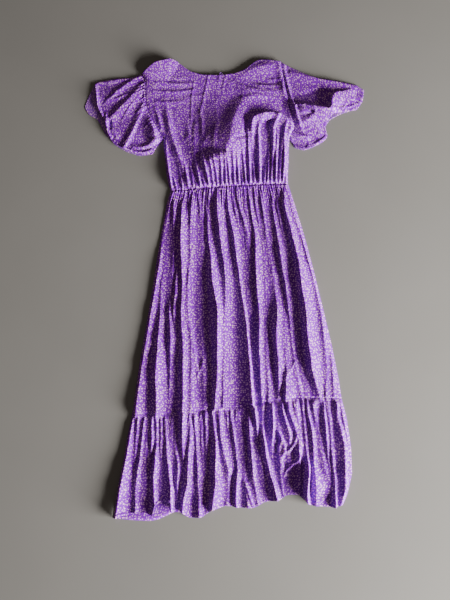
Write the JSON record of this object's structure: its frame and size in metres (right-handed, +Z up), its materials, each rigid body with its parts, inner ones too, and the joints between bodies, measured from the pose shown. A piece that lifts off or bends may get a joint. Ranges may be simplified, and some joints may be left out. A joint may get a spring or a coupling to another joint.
{
  "type": "maxi dress",
  "caption": "Printed maxi dress with full elbow sleeves and a gathered hem tier, laid flat with its back up.",
  "frame": {"origin": "centre of the part's box, on the surface that the dress lies on", "axes": "+Y from the hem to the neck, +Z up from the surface, +X to the right as seen from above"},
  "size_m": [0.8331, 1.3134, 0.0228],
  "materials": {
    "printed_cloth": "soft printed viscose with a faint sheen"
  },
  "bodies": {
    "root": {"bodice_back": "printed_cloth", "bodice_front": "printed_cloth", "sleeve_left": "printed_cloth", "sleeve_right": "printed_cloth", "skirt_back": "printed_cloth", "skirt_front": "printed_cloth", "tier_back": "printed_cloth", "tier_front": "printed_cloth"}
  },
  "joints": []
}
